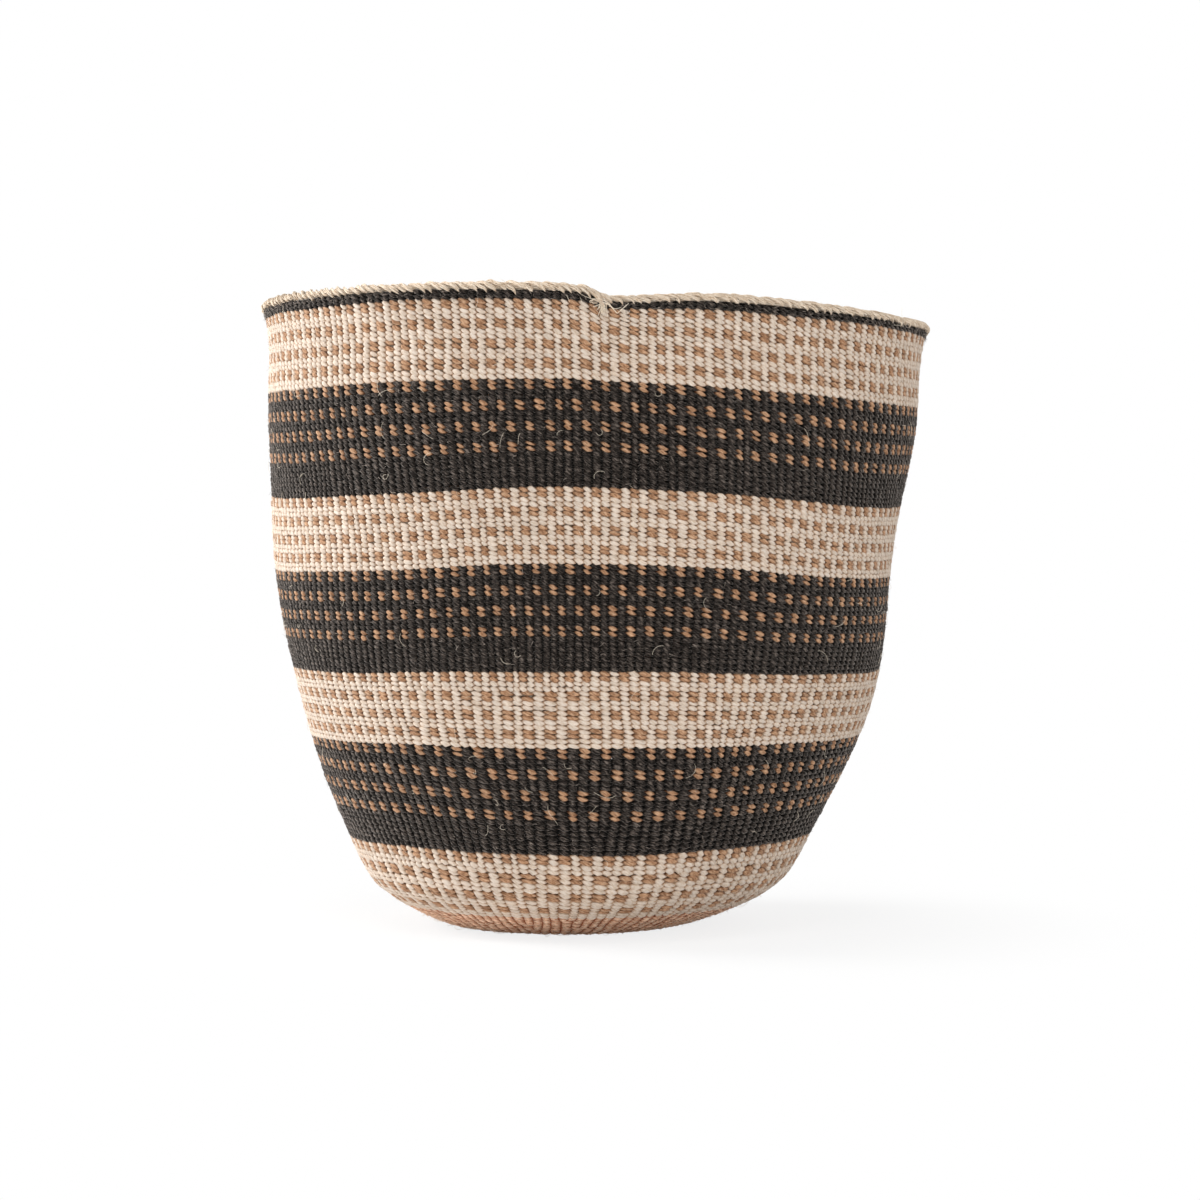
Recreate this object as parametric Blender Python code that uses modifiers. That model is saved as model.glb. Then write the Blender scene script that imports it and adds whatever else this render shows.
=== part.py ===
"""A soft, hand-twined sisal basket, standing open and empty.

Its wall is one long line of weft courses, worked round and round over radial warps from the
middle of the base up to the rim. Each run of courses in one colour is a turned ring of its own,
with the warps passing through it, and an edge of folded warp ends closes the rim.
Metres, +Z up. The front, with the tie-off knot of the rim, faces -Y.
"""

import math
from bisect import bisect_right

import bmesh
import bpy
from mathutils import Vector

MM = 0.001

# Overall sizes
RIM_HEIGHT = 278.0 * MM
WALL_HALF_THICKNESS = 2.3 * MM
GAP = 0.3 * MM
MERGE_DISTANCE = 0.01 * MM

# Cage of the wall's middle line, from the base centre to the rim: radius and height in mm
WALL_CAGE = [
    (0.0, 2.3), (22.0, 2.3), (44.0, 2.3), (56.0, 2.3), (90.5, 17.8), (97.5, 32.0), (117.2, 71.0),
    (128.2, 108.0), (134.2, 150.0), (138.1, 190.0), (144.1, 230.0), (141.4, 256.0), (146.6, 280.0),
]
CAGE_STEPS = 40

# Runs of weft courses from the base centre to the rim:
# node, material, courses, height of one course in mm, straight stretches in its profile
COURSE_RUNS = [
    ("base_centre", "tan_sisal", 10, 1.975, 1),
    ("base_courses", "tan_sisal", 15, 1.975, 2),
    ("base_turn", "tan_sisal", 15, 1.975, 3),
    ("cream_band_1", "cream_sisal", 16, 2.425, 3),
    ("black_band_1_plain", "black_sisal", 7, 2.41, 1),
    ("black_band_1_dotted", "black_sisal", 14, 2.41, 2),
    ("cream_band_2", "cream_sisal", 16, 2.05, 2),
    ("black_band_2_plain", "black_sisal", 7, 2.12, 1),
    ("black_band_2_dotted", "black_sisal", 14, 2.12, 1),
    ("cream_band_3", "cream_sisal", 16, 1.94, 1),
    ("black_band_3_plain", "black_sisal", 7, 2.07, 1),
    ("black_band_3_dotted", "black_sisal", 14, 2.07, 1),
    ("cream_band_4", "cream_sisal", 16, 2.01, 1),
]

# The last, thicker courses, and the edge of folded warp ends on top of them
RIM_COURSES = 2
RIM_COURSE_HEIGHT = 1.7 * MM
RIM_COURSE_HALF_THICKNESS = 2.8 * MM
EDGE_HEIGHT = 3.8 * MM
EDGE_HALF_THICKNESS = 3.1 * MM
EDGE_SIDES = 8

# Warps: each rib stands for a bundle of the closely set real ones
WARP_RIBS = 18
WARP_WIDTH = 2.4 * MM
WARP_HALF_THICKNESS = 0.7 * MM
WARP_HUB_RADIUS = 12.5 * MM
WARP_END_IN_EDGE = 2.0 * MM
STAR_REACH = 170.0 * MM
STAR_HALF_HEIGHT = 320.0 * MM

# Tie-off knot and its frayed tail, on the front of the rim
KNOT_ANGLE = math.radians(1.6)
KNOT_RADII = Vector((4.6, 1.9, 3.6)) * MM
KNOT_SIDES = 16
KNOT_RINGS = 10
TAIL_TOP_RADIUS = 1.5 * MM
TAIL_TIP_RADIUS = 0.6 * MM
TAIL_LENGTH = 5.0 * MM
TAIL_SIDES = 12

# How far the soft wall has settled away from a true turned shape. A level is a height as a share of
# the rim's, and a wave's phase drifts by so many radians from the base to the rim.
# The basket leans to +X, and its base stands off to -X, so that the whole is centred on the origin.
BASE_SHIFT = Vector((-7.0, -0.4, 0.0)) * MM
LEAN = 6.2 * MM
BASE_SLIDE = 6.7 * MM
SLIDE_LEVEL = 0.04
RIM_WAVE, RIM_WAVE_PHASE, RIM_WAVE_DRIFT = 2.7 * MM, 0.5, -2.6
BODY_WAVE, BODY_WAVE_PHASE, BODY_WAVE_DRIFT = 1.8 * MM, -1.1, 11.8
FIVE_WAVE, FIVE_WAVE_DRIFT = 0.5 * MM, -4.0
RIM_TILT = 5.0 * MM
RIM_SADDLE = 2.6 * MM
RIM_TWIST = 0.5 * MM

# The courses sag beside the front, more at the middle heights and the other way below SAG_LEVEL
COURSE_SAG = 5.0 * MM
SAG_LEVEL = 0.29

# The rim dips at the knot, steeply on its left and slowly on its right
RIM_DIP = 4.6 * MM
RIM_DIP_ANGLE = math.radians(3.0)
RIM_DIP_LEFT = math.radians(3.5)
RIM_DIP_RIGHT = math.radians(13.0)
RIM_DIP_POWER = 12

# Facets round the turned pieces, with a warp rib in the middle of every second one
TURN_STEPS = 2 * WARP_RIBS
FACET_ANGLE = 2 * math.pi / TURN_STEPS
SMOOTH_ANGLE = math.radians(40)

COLOURS = {
    "cream_sisal": (0.66, 0.55, 0.44),
    "black_sisal": (0.035, 0.028, 0.024),
    "tan_sisal": (0.40, 0.22, 0.13),
    "natural_sisal": (0.62, 0.50, 0.34),
}
SISAL_ROUGHNESS = 0.85


def clear_scene():
    for thing in list(bpy.data.objects):
        bpy.data.objects.remove(thing, do_unlink=True)


def new_collection(name):
    collection = bpy.data.collections.new(name)
    bpy.context.scene.collection.children.link(collection)
    return collection


def sisal_material(name):
    material = bpy.data.materials.new(name)
    material.use_nodes = True
    shader = material.node_tree.nodes["Principled BSDF"]
    shader.inputs["Base Color"].default_value = (*COLOURS[name], 1.0)
    shader.inputs["Roughness"].default_value = SISAL_ROUGHNESS
    shader.inputs["Metallic"].default_value = 0.0
    return material


def wall_line():
    """Points of the wall's middle line, a cubic B-spline, and the length along it at each."""
    cage = [Vector(corner) * MM for corner in WALL_CAGE]
    before_first = Vector((-cage[1].x, cage[1].y))
    after_last = 2 * cage[-1] - cage[-2]
    cage = [before_first, *cage, after_last]
    points = []
    for a, b, c, d in zip(cage, cage[1:], cage[2:], cage[3:]):
        for step in range(CAGE_STEPS):
            t = step / CAGE_STEPS
            weight_b = 3 * t ** 3 - 6 * t ** 2 + 4
            weight_c = -3 * t ** 3 + 3 * t ** 2 + 3 * t + 1
            points.append(((1 - t) ** 3 * a + weight_b * b + weight_c * c + t ** 3 * d) / 6)
    points.append(cage[-2])
    lengths = [0.0]
    for before, after in zip(points, points[1:]):
        lengths.append(lengths[-1] + (after - before).length)
    return points, lengths


LINE_POINTS, LINE_LENGTHS = wall_line()


def on_wall(length, offset):
    """Radius and height at a length along the middle line, moved outwards by an offset."""
    index = min(bisect_right(LINE_LENGTHS, length), len(LINE_POINTS) - 1) - 1
    start = LINE_POINTS[index]
    along = (LINE_POINTS[index + 1] - start).normalized()
    return start + along * (length - LINE_LENGTHS[index]) + offset * Vector((along.y, -along.x))


def settle(point):
    """Where a point of the true turned shape lies on the soft basket."""
    level = point.z / RIM_HEIGHT
    angle = math.atan2(point.x, -point.y)
    middle = math.sin(math.pi * min(level, 1.0))
    wave = level * RIM_WAVE * math.sin(3 * angle + RIM_WAVE_PHASE + RIM_WAVE_DRIFT * level)
    wave += middle * BODY_WAVE * math.sin(3 * angle + BODY_WAVE_PHASE + BODY_WAVE_DRIFT * level)
    wave += level * FIVE_WAVE * math.sin(5 * angle + FIVE_WAVE_DRIFT * level)
    radius = math.hypot(point.x, point.y) + wave
    rise = RIM_SADDLE * math.cos(2 * angle) - RIM_TWIST * math.sin(2 * angle)
    rise -= RIM_TILT * math.sin(angle)
    sag = middle * math.sin(math.pi * (level - SAG_LEVEL) / (1 - SAG_LEVEL))
    sag *= COURSE_SAG * (1 - math.cos(3 * angle)) / 2
    past_dip = angle - RIM_DIP_ANGLE
    dip_width = RIM_DIP_RIGHT if past_dip > 0 else RIM_DIP_LEFT
    dip = RIM_DIP * level ** RIM_DIP_POWER * math.exp(-(past_dip / dip_width) ** 2)
    slide = BASE_SLIDE * math.exp(-level / SLIDE_LEVEL)
    settled = Vector((
        radius * math.sin(angle) + LEAN * level - slide,
        -radius * math.cos(angle),
        point.z + level ** 2 * rise - sag - dip,
    ))
    return settled + BASE_SHIFT


def stretches(start, end, count):
    return [start + (end - start) * step / count for step in range(count + 1)]


def course_runs():
    """Each run of courses as its node, material, half thickness and lengths along the wall."""
    runs = []
    start = 0.0
    for node, material, courses, course_height, count in COURSE_RUNS:
        end = start + courses * course_height * MM
        runs.append((node, material, WALL_HALF_THICKNESS, stretches(start, end, count)))
        start = end
    end = start + RIM_COURSES * RIM_COURSE_HEIGHT
    runs.append(("rim_black_course", "black_sisal", RIM_COURSE_HALF_THICKNESS, [start, end]))
    return runs


def new_object(name, mesh, collection):
    obj = bpy.data.objects.new(name, mesh)
    collection.objects.link(obj)
    return obj


def turned(name, profile, closed, collection):
    """Points of radius and height, joined up and turned about Z by a Screw modifier."""
    bm = bmesh.new()
    verts = [bm.verts.new((point.x, 0.0, point.y)) for point in profile]
    for before, after in zip(verts, verts[1:]):
        bm.edges.new((before, after))
    if closed:
        bm.edges.new((verts[-1], verts[0]))
    mesh = bpy.data.meshes.new(name)
    bm.to_mesh(mesh)
    bm.free()
    obj = new_object(name, mesh, collection)
    screw = obj.modifiers.new("Turn", "SCREW")
    screw.steps = TURN_STEPS
    screw.render_steps = TURN_STEPS
    screw.use_merge_vertices = True
    screw.merge_threshold = MERGE_DISTANCE
    return obj


def turned_shell(name, lengths, half_thickness, collection):
    """A shell of the wall between the first and last length. One from the centre is a dish."""
    outer = [on_wall(length, half_thickness) for length in reversed(lengths)]
    inner = [on_wall(length, -half_thickness) for length in lengths]
    if lengths[0] == 0.0:
        return turned(name, inner + outer, False, collection)
    return turned(name, outer + inner, True, collection)


def turned_edge(name, start, collection):
    """The domed ring on top of the last course, with its flat side down."""
    profile = []
    for side in range(EDGE_SIDES + 1):
        turn = math.pi * (1 - side / EDGE_SIDES)
        length = start + EDGE_HEIGHT * math.sin(turn)
        profile.append(on_wall(length, EDGE_HALF_THICKNESS * math.cos(turn)))
    return turned(name, profile, True, collection)


def star(name, width, hub_radius, collection):
    """A tall prism with a round hub and one straight arm for each warp rib."""
    outline = []
    half_gap = math.asin(width / 2 / hub_radius)
    for rib in range(WARP_RIBS):
        angle = (2 * rib + 0.5) * FACET_ANGLE
        along = Vector((math.cos(angle), math.sin(angle), 0.0))
        across = Vector((-along.y, along.x, 0.0)) * width / 2
        root = along * hub_radius * math.cos(half_gap)
        outline += [root - across, along * STAR_REACH - across, along * STAR_REACH + across, root + across]
    curve = bpy.data.curves.new(name, "CURVE")
    curve.dimensions = "2D"
    curve.fill_mode = "BOTH"
    curve.extrude = STAR_HALF_HEIGHT
    spline = curve.splines.new("POLY")
    spline.points.add(len(outline) - 1)
    spline.use_cyclic_u = True
    for place, corner in zip(spline.points, outline):
        place.co = (*corner, 1.0)
    prism = new_object(name + "_outline", curve, collection)
    return as_mesh(name, prism, collection)


def evaluated_mesh(obj):
    depsgraph = bpy.context.evaluated_depsgraph_get()
    return bpy.data.meshes.new_from_object(obj.evaluated_get(depsgraph))


def as_mesh(name, obj, collection):
    """A mesh object with the shape that another shows, which it takes the place of."""
    mesh = evaluated_mesh(obj)
    bm = bmesh.new()
    bm.from_mesh(mesh)
    bmesh.ops.remove_doubles(bm, verts=bm.verts, dist=MERGE_DISTANCE)
    bmesh.ops.recalc_face_normals(bm, faces=bm.faces)
    bm.to_mesh(mesh)
    bm.free()
    bpy.data.objects.remove(obj, do_unlink=True)
    return new_object(name, mesh, collection)


def boolean(obj, cutter, operation):
    cut = obj.modifiers.new(operation.title(), "BOOLEAN")
    cut.operation = operation
    cut.object = cutter
    cut.solver = "EXACT"


def warp_ribs(name, clearance, lengths, collection):
    """All the warps as one thin dish cut into ribs, or the space that they need."""
    lengths = [*lengths[:-1], lengths[-1] + clearance]
    dish = turned_shell(name + "_dish", lengths, WARP_HALF_THICKNESS + clearance, collection)
    arms = star(name + "_arms", WARP_WIDTH + 2 * clearance, WARP_HUB_RADIUS + clearance, collection)
    boolean(dish, arms, "INTERSECT")
    ribs = as_mesh(name, dish, collection)
    bpy.data.objects.remove(arms, do_unlink=True)
    return ribs


def finish_piece(obj, material):
    """Fix the evaluated shape, settle every point of it, and give it its material."""
    mesh = evaluated_mesh(obj)
    obj.modifiers.clear()
    obj.data = mesh
    mesh.name = obj.name
    for vertex in mesh.vertices:
        vertex.co = settle(vertex.co)
    mesh.materials.clear()
    mesh.materials.append(material)
    mesh.shade_smooth()
    mesh.set_sharp_from_angle(angle=SMOOTH_ANGLE)


def at_front(length, offset):
    """The point at the knot's angle, at a length along the wall and an offset outwards."""
    place = on_wall(length, offset)
    return Vector((place.x * math.sin(KNOT_ANGLE), -place.x * math.cos(KNOT_ANGLE), place.y))


def tie_off_knot(name, length, collection):
    bm = bmesh.new()
    bmesh.ops.create_uvsphere(bm, u_segments=KNOT_SIDES, v_segments=KNOT_RINGS, radius=1.0)
    centre = at_front(length, RIM_COURSE_HALF_THICKNESS + GAP + KNOT_RADII.y)
    for vertex in bm.verts:
        vertex.co = centre + vertex.co * KNOT_RADII
    mesh = bpy.data.meshes.new(name)
    bm.to_mesh(mesh)
    bm.free()
    return new_object(name, mesh, collection)


def frayed_tail(name, top, collection):
    """A tapered tuft that hangs down the wall below the knot."""
    bm = bmesh.new()
    bmesh.ops.create_cone(bm, cap_ends=True, segments=TAIL_SIDES, radius1=TAIL_TIP_RADIUS,
                          radius2=TAIL_TOP_RADIUS, depth=TAIL_LENGTH)
    centre = at_front(top - TAIL_LENGTH / 2, RIM_COURSE_HALF_THICKNESS + GAP + TAIL_TOP_RADIUS)
    bmesh.ops.translate(bm, verts=bm.verts, vec=centre)
    mesh = bpy.data.meshes.new(name)
    bm.to_mesh(mesh)
    bm.free()
    return new_object(name, mesh, collection)


def build_basket():
    clear_scene()
    basket = new_collection("sisal_basket")
    cutters = new_collection("cutters")
    materials = {name: sisal_material(name) for name in COLOURS}
    runs = course_runs()
    rim_length = runs[-1][3][-1]
    warp_lengths = [0.0]
    for *_, lengths in runs:
        warp_lengths += lengths[1:]
    warp_lengths.append(rim_length + WARP_END_IN_EDGE)

    pieces = [(warp_ribs("warps", 0.0, warp_lengths, basket), "natural_sisal")]
    for node, material, half_thickness, lengths in runs:
        spaced = [*lengths]
        spaced[-1] -= GAP / 2
        if lengths[0] > 0.0:
            spaced[0] += GAP / 2
        pieces.append((turned_shell(node, spaced, half_thickness, basket), material))
    pieces.append((turned_edge("rim_edge", rim_length + GAP / 2, basket), "natural_sisal"))

    space_for_warps = warp_ribs("space_for_warps", GAP, warp_lengths, cutters)
    space_for_warps.hide_render = True
    space_for_warps.display_type = "WIRE"
    for piece, _ in pieces[1:]:
        boolean(piece, space_for_warps, "DIFFERENCE")

    knot_length = rim_length + EDGE_HEIGHT - KNOT_RADII.z - GAP
    tail_top = knot_length - KNOT_RADII.z - GAP
    pieces.append((tie_off_knot("rim_knot", knot_length, basket), "natural_sisal"))
    pieces.append((frayed_tail("rim_knot_tail", tail_top, basket), "natural_sisal"))
    for piece, material in pieces:
        finish_piece(piece, materials[material])


build_basket()
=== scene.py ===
"""The looks of a soft, hand-twined sisal basket.

Every course of its wall is two cords that wrap each other and shut one warp in at every half turn,
as in the real weave. Cords, warps, the rim's folded warp ends, its knot and the loose fibres are all
tubes. Metres, +Z up, the front faces -Y, lengths in constants are in metres unless they say mm.
"""

import math

import bpy
import numpy as np
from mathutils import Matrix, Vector


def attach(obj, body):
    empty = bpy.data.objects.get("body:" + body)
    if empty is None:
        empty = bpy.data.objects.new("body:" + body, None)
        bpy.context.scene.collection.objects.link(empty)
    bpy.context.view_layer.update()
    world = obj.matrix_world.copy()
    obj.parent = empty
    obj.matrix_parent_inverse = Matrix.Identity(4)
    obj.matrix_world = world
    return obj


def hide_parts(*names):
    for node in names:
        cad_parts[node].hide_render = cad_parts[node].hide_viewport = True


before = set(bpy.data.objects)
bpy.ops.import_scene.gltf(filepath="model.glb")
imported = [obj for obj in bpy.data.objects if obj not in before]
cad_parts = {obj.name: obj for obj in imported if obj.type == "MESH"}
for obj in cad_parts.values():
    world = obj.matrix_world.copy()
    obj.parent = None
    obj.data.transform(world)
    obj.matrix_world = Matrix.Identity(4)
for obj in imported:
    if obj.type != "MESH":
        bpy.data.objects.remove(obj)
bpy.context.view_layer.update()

MM = 0.001
UP = np.array([0.0, 0.0, 1.0])
SEED = 7

# The wall, as in the CAD model: cage of its middle line, radius and height in mm. The line has a
# straight spare end above the rim.
RIM_HEIGHT = 278.0 * MM
WALL_HALF_THICKNESS = 2.3 * MM
WALL_CAGE = [
    (0.0, 2.3), (22.0, 2.3), (44.0, 2.3), (56.0, 2.3), (90.5, 17.8), (97.5, 32.0), (117.2, 71.0),
    (128.2, 108.0), (134.2, 150.0), (138.1, 190.0), (144.1, 230.0), (141.4, 256.0), (146.6, 280.0),
]
CAGE_STEPS = 40
LINE_SPARE = 30.0 * MM

# How the soft wall has settled, as in the CAD model: a level is a height as a share of the rim's.
# No point lies lower than the gap above the floor.
BASE_SHIFT = np.array((-7.0, -0.4, 0.0)) * MM
LEAN = 6.2 * MM
BASE_SLIDE = 6.7 * MM
SLIDE_LEVEL = 0.04
RIM_WAVE, RIM_WAVE_PHASE, RIM_WAVE_DRIFT = 2.7 * MM, 0.5, -2.6
BODY_WAVE, BODY_WAVE_PHASE, BODY_WAVE_DRIFT = 1.8 * MM, -1.1, 11.8
FIVE_WAVE, FIVE_WAVE_DRIFT = 0.5 * MM, -4.0
RIM_TILT = 5.0 * MM
RIM_SADDLE = 2.6 * MM
RIM_TWIST = 0.5 * MM
COURSE_SAG = 5.0 * MM
SAG_LEVEL = 0.29
RIM_DIP = 4.6 * MM
RIM_DIP_ANGLE = math.radians(3.0)
RIM_DIP_LEFT = math.radians(3.5)
RIM_DIP_RIGHT = math.radians(13.0)
RIM_DIP_POWER = 12
FLOOR_GAP = 0.1 * MM

# Runs of courses from the base centre to the rim, as in the CAD model: node, cord colour, course
# height in mm, how much wider the columns with tan dots are there, and one letter a course, P for
# plain and D for a course with tan dots
CREAM_COURSES = "PPDDPPDDPPDDPPDD"
DOTTED_COURSES = "DDPPDDPPDDPPDD"
COURSE_RUNS = [
    ("base_centre", "base", 1.975, 0.0, "P" * 10),
    ("base_courses", "base", 1.975, 0.0, "P" * 15),
    ("base_turn", "base", 1.975, 0.0, "P" * 15),
    ("cream_band_1", "cream", 2.425, 0.20, CREAM_COURSES),
    ("black_band_1_plain", "black", 2.41, 0.0, "P" * 7),
    ("black_band_1_dotted", "black", 2.41, -0.14, DOTTED_COURSES),
    ("cream_band_2", "cream", 2.05, 0.10, CREAM_COURSES),
    ("black_band_2_plain", "black", 2.12, 0.0, "P" * 7),
    ("black_band_2_dotted", "black", 2.12, -0.14, DOTTED_COURSES),
    ("cream_band_3", "cream", 1.94, 0.10, CREAM_COURSES),
    ("black_band_3_plain", "black", 2.07, 0.0, "P" * 7),
    ("black_band_3_dotted", "black", 2.07, -0.14, DOTTED_COURSES),
    ("cream_band_4", "cream", 2.01, 0.14, CREAM_COURSES),
    ("rim_black_course", "black", 1.70, 0.0, "PP"),
]
# Whether each row of dots stands over the dots of the row below, 1 for yes, for each band upwards
DOTS_OVER_DOTS = "-010 0000 0110 0101 1000 0100 1101"

# Columns of stitches round the wall. The base gets them in proportion to its radius, and higher up
# new warps come in at some courses, counted from the centre: (course, columns from there on). A new
# one splits one of the widest columns. All columns relax at each course, but stay a little uneven.
FIRST_COURSE = 1
BASE_COLUMNS_A_COURSE = 2.91
COLUMN_STEPS = [
    (40, 118), (52, 146), (53, 160), (60, 162), (65, 166), (69, 172), (73, 178), (77, 182), (81, 188),
    (85, 196), (89, 206), (93, 214), (103, 218), (107, 220), (114, 222), (126, 224), (130, 226),
]
COLUMN_LEAN = math.radians(-6.0)
COLUMN_UNEVENNESS = 0.06
COLUMN_WANDER = 0.035
WANDER_KEPT = 0.93
NEARLY_WIDEST = (0.75, 1.25)
RELAXING = 0.30
RELAXING_ROUNDS = 2

# One cord in the wall. It passes in front of one column and behind the next. Its rings in front and
# behind stand at these shares of a column, with these offsets in shares of how far a cord can lie off
# the middle, these heights and thicknesses in shares of a full one, and this slope in course heights.
SIDES = 8
FRONT_RINGS = {
    "place": (-0.14, 0.12, 0.48, 0.88), "offset": (0.28, 0.88, 1.00, 0.84),
    "height": (0.42, 0.84, 1.38, 0.74), "thickness": (1.05, 1.0, 1.0, 1.0),
    "slope": (0.32, 0.26, 0.01, -0.25),
}
BACK_RINGS = {
    "place": (0.14, 0.21, 0.50, 0.79), "offset": (0.28, -0.80, -1.00, -0.80),
    "height": (0.38, 0.80, 1.34, 0.80), "thickness": (1.05, 1.0, 1.0, 1.0),
    "slope": (-0.32, -0.20, 0.0, 0.20),
}
CORD_HALF_THICKNESS = 0.85 * MM
CORD_SQUARENESS = 0.8
LEAST_HEIGHT = 0.30
# The stitches slant more and more up the wall: factors on the slope at its start and at the rim
SLANT_LOW, SLANT_HIGH = 0.60, 1.08
SLANT_POWER = 3
# How uneven the stitches are: how far they bulge, lie high or low in their course, and differ in size
STITCH_BULGE = 0.10 * MM
STITCH_LIFT, STITCH_SIZE, STITCH_ROUGHNESS = 0.08, 0.09, 0.06
# How full a cord's stitches are, by its colour, and how much painted shade its upper and lower edges and
# the ends of its stitches outside get, as if they lay so much deeper. A tan cord in a black band is
# thinner.
FULLNESS = {"cream": 1.02, "tan": 0.98, "base": 0.78, "black": 0.86}
EDGE_PAINTED_SHADE = {"cream": 0.0, "tan": 0.03, "base": 0.10, "black": 0.02}
END_PAINTED_SHADE = {"cream": 0.0, "tan": 0.0, "base": 0.4, "black": 1.2}
THIN_TAN = 0.84
# How far the courses creep up and down: waves with their share of that, number round the wall, drift
# up to the rim and phase
COURSE_WANDER = 0.25 * MM
COURSE_WAVES = [(1.0, 4, 9.0, 0.0), (0.7, 9, -14.0, 1.0)]

# Length of a turn of the plies, places in the noise for the tubes and how many mm these are apart, and
# the most triangles in a piece
PLY_TURN = 26.0 * MM
NOISE_PLACES = 40
NOISE_STRIDE = 1000.0
MOST_TRIANGLES = 185000

# The black edge is two low courses of a thicker cord. A straight cord inside them, through the
# gaps between the warps, keeps it closed.
RIM_COURSE_HALF_THICKNESS = 1.0 * MM
RIM_HALF_WALL = 2.8 * MM
RIM_FILLER_RADIUS = 1.5 * MM

# Warps inside the wall: as wide as these shares of a column, in the wall and in the base, and with painted
# shade as if so deep under each colour of cord, where 1 is the surface. A few short ones cross at the base
# centre.
WARP_SIDES = 6
WARP_COLUMN_SHARE = 1.06
WARP_BASE_SHARE = 1.6
WARP_HALF_THICKNESS = 0.62 * MM
WARP_SHADE_DEPTHS = {"cream": 0.74, "base": 0.60, "black": 0.2}
CROSSING_WARPS = 4
CROSSING_REACH = 4.0 * MM
CROSSING_RADIUS = 0.9 * MM
# The crossing warps and the straight cord inside the black edge get painted shade as if this deep
HIDDEN_SHADE_DEPTH = 0.6

# Folded warp ends on the rim: points in mm round the rim, outwards and above the black course. Each
# end is a few plies that turn slowly, over a core that runs round the rim.
FOLD_PATH = [
    (3.3, 2.4, 0.3), (2.3, 2.8, 1.1), (0.6, 2.5, 1.9), (-1.6, 1.4, 2.4), (-4.0, 0.0, 2.5),
    (-6.2, -1.5, 2.1), (-8.0, -2.3, 1.0), (-9.2, -2.3, 0.0),
]
FOLD_STEPS = 2
FOLD_SIDES = 6
FOLD_PLIES = 4
FOLD_RADIUS = 0.40 * MM
FOLD_SHARE = 0.55
FOLD_SPREAD = 0.52
FOLD_SPREAD_SCATTER = (0.8, 1.3)
FOLD_TURN = 2.6
FOLD_UNEVENNESS = 0.20
FOLD_END_UNEVENNESS = 0.35
CORE_RADIUS = 1.2 * MM
CORE_UP = 1.0
CORE_STEPS = 720

# The knot on the front of the rim: the radius of each strand in mm, and its points in mm to the
# right, outwards and above the black course
KNOT_ANGLE = math.radians(1.6)
KNOT_STRANDS = [
    (0.26, [(-7.4, 2.6, 2.1), (-4.6, 3.6, 1.7), (-2.7, 4.2, 0.3), (-1.1, 4.4, -1.4), (-1.6, 4.0, -3.4)]),
    (0.24, [(-6.4, 2.6, 2.5), (-3.8, 3.8, 1.7), (-1.9, 4.4, 0.3), (-0.5, 4.5, -1.6), (-0.7, 4.1, -4.6)]),
    (0.24, [(-5.2, 2.6, 2.8), (-2.9, 3.9, 1.8), (-1.1, 4.5, 0.4), (0.1, 4.6, -1.8), (-0.1, 4.1, -5.4)]),
    (0.22, [(-3.6, 2.6, 3.0), (-1.8, 3.9, 1.8), (-0.3, 4.5, 0.2), (0.6, 4.5, -2.0), (0.7, 4.0, -4.8)]),
    (0.20, [(-1.2, 2.8, 2.9), (0.2, 3.9, 1.7), (1.1, 4.3, 0.0), (1.5, 4.2, -1.6), (1.5, 3.7, -3.0)]),
    (0.24, [(-2.6, 3.4, -0.9), (-1.2, 4.9, -0.6), (0.4, 5.1, -0.5), (1.8, 4.6, -0.9), (2.6, 3.4, -1.4)]),
    (0.22, [(-2.8, 3.2, 0.0), (-1.4, 4.7, 0.3), (0.3, 5.0, 0.5), (1.9, 4.5, 0.1), (2.9, 3.3, -0.4)]),
    (0.20, [
        (-1.1, 4.8, -0.8), (-3.0, 4.9, -0.5), (-4.9, 4.4, -1.6), (-5.0, 3.9, -2.5), (-3.9, 4.2, -2.0),
        (-2.1, 4.5, -1.4),
    ]),
    (0.15, [(-0.9, 4.7, -1.2), (-2.8, 4.8, -0.9), (-4.4, 4.3, -1.5), (-3.9, 3.9, -2.6), (-2.0, 4.1, -1.9)]),
    (0.22, [(0.8, 4.6, 0.4), (2.0, 4.4, 1.1), (3.2, 3.6, 1.4), (4.4, 2.8, 1.1)]),
    (0.20, [(1.0, 4.6, -0.6), (2.4, 4.4, -0.3), (3.0, 3.9, -1.2), (2.6, 3.7, -2.2)]),
]
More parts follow.
